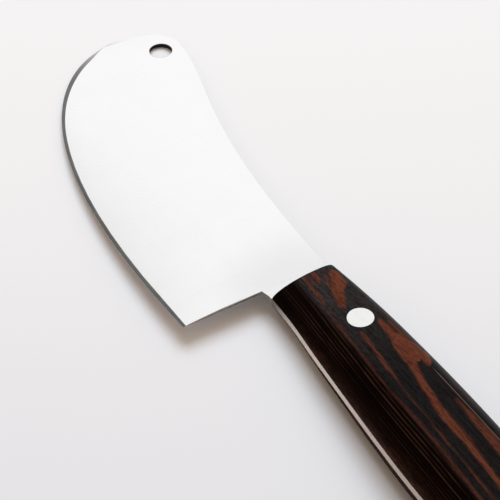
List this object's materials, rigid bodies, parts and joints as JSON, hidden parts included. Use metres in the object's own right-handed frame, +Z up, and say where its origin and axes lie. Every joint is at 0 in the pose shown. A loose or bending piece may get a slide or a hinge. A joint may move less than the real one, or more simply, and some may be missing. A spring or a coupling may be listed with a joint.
{
  "type": "cheese knife",
  "caption": "Broad round-tipped knife for soft and hard cheese, with a hanging hole near the tip and a full-tang riveted wooden handle.",
  "frame": {"origin": "centre of the outline, on the level that the knife lies on, on its side", "axes": "+X from the tip to the butt, +Y from the cutting edge to the spine, +Z up out of the left side of the blade"},
  "size_m": [0.2384, 0.0602, 0.0166],
  "materials": {
    "blade_steel": "fine satin stainless steel, bare, with no lettering",
    "handle_wood": "resin-pressed layered hardwood, near black with red-brown layers, satin polish",
    "rivet_steel": "stainless steel ground flush with the wood and polished"
  },
  "bodies": {
    "root": {"blade": "blade_steel", "left_scale": "handle_wood", "right_scale": "handle_wood", "front_rivet_pin": "rivet_steel", "front_rivet_tube": "rivet_steel", "rear_rivet_pin": "rivet_steel", "rear_rivet_tube": "rivet_steel"}
  },
  "joints": []
}
